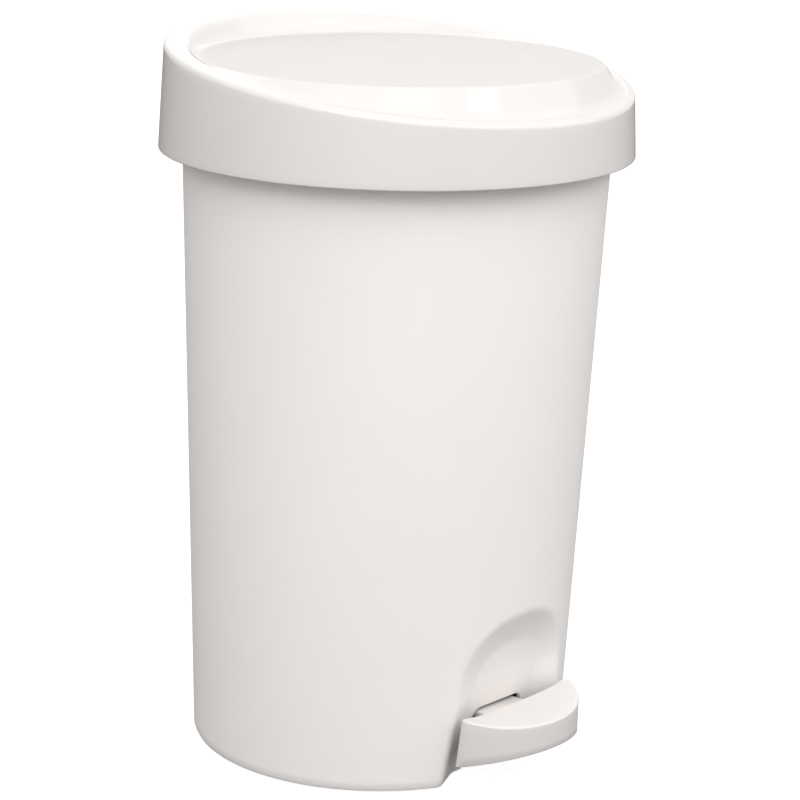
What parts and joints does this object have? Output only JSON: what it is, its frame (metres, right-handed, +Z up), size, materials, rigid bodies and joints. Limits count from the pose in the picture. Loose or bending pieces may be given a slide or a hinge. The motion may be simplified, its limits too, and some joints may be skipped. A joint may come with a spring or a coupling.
{
  "type": "pedal trash can",
  "caption": "Tapered oval kitchen trash can with a front foot pedal in an arched recess, a wedge-shaped lid hinged at the back and a lift-out inner bucket.",
  "frame": {"origin": "centre of the bounding box at floor level, under the can", "axes": "+Z up, -Y towards the front where the pedal is, +X towards the right of someone facing the back from the front"},
  "size_m": [0.3, 0.2896, 0.4487],
  "materials": {
    "body_plastic": "matt off-white moulding",
    "lid_plastic": "glossy off-white moulding with a matt fine-textured disc in the middle",
    "pedal_plastic": "satin off-white moulding with fine arc ridges on top",
    "bucket_plastic": "pale grey moulding",
    "fitting_plastic": "natural satin moulding",
    "steel": "zinc plated",
    "rubber": "matt grey"
  },
  "bodies": {
    "can": {"outer_body": "body_plastic", "base_plate": "fitting_plastic", "lever_axle": "steel", "axle_clip_left": "fitting_plastic", "axle_clip_right": "fitting_plastic", "rod_guide_lower": "fitting_plastic", "rod_guide_upper": "fitting_plastic", "hinge_bracket": "fitting_plastic", "hinge_pin": "steel", "bracket_screw_left": "steel", "bracket_screw_right": "steel", "inner_bucket": "bucket_plastic", "base_screw_front_left": "steel", "base_screw_front_right": "steel", "base_screw_rear_left": "steel", "base_screw_rear_right": "steel", "foot_front_left": "rubber", "foot_front_right": "rubber", "foot_rear_left": "rubber", "foot_rear_right": "rubber"},
    "pedal": {"pedal_pad": "pedal_plastic", "lever_arm": "steel", "pedal_screw_front": "steel", "pedal_screw_rear": "steel"},
    "push_rod": {"lift_rod": "steel", "rod_foot": "fitting_plastic", "rod_head": "fitting_plastic"},
    "lid": {"lid": "lid_plastic", "lid_hinge_block": "fitting_plastic", "lid_screw_left": "steel", "lid_screw_right": "steel", "lid_buffer_left": "rubber", "lid_buffer_right": "rubber"},
    "handle": {"bucket_handle": "steel", "handle_grip": "fitting_plastic"}
  },
  "joints": [
    {"name": "lid_hinge", "type": "hinge", "parent": "can", "child": "lid", "pos_m": [0, 0.13773, 0.384], "axis": [-1, 0, 0], "range_deg": [0, 75]},
    {"name": "pedal_hinge", "type": "hinge", "parent": "can", "child": "pedal", "pos_m": [0, -0.02477, 0.03], "axis": [1, 0, 0], "range_deg": [0, 9.6]},
    {"name": "rod_slide", "type": "slide", "parent": "can", "child": "push_rod", "axis": [0, 0, 1], "range_m": [0, 0.02331]},
    {"name": "handle_swing", "type": "hinge", "parent": "can", "child": "handle", "pos_m": [0, 0.00152, 0.412], "axis": [-1, 0, 0], "range_deg": [0, 5]}
  ],
  "couplings": [
    {"joint": "pedal_hinge", "follows": "lid_hinge", "ratio": 0.1279},
    {"joint": "rod_slide", "follows": "lid_hinge", "m_per_rad": 0.0178}
  ]
}
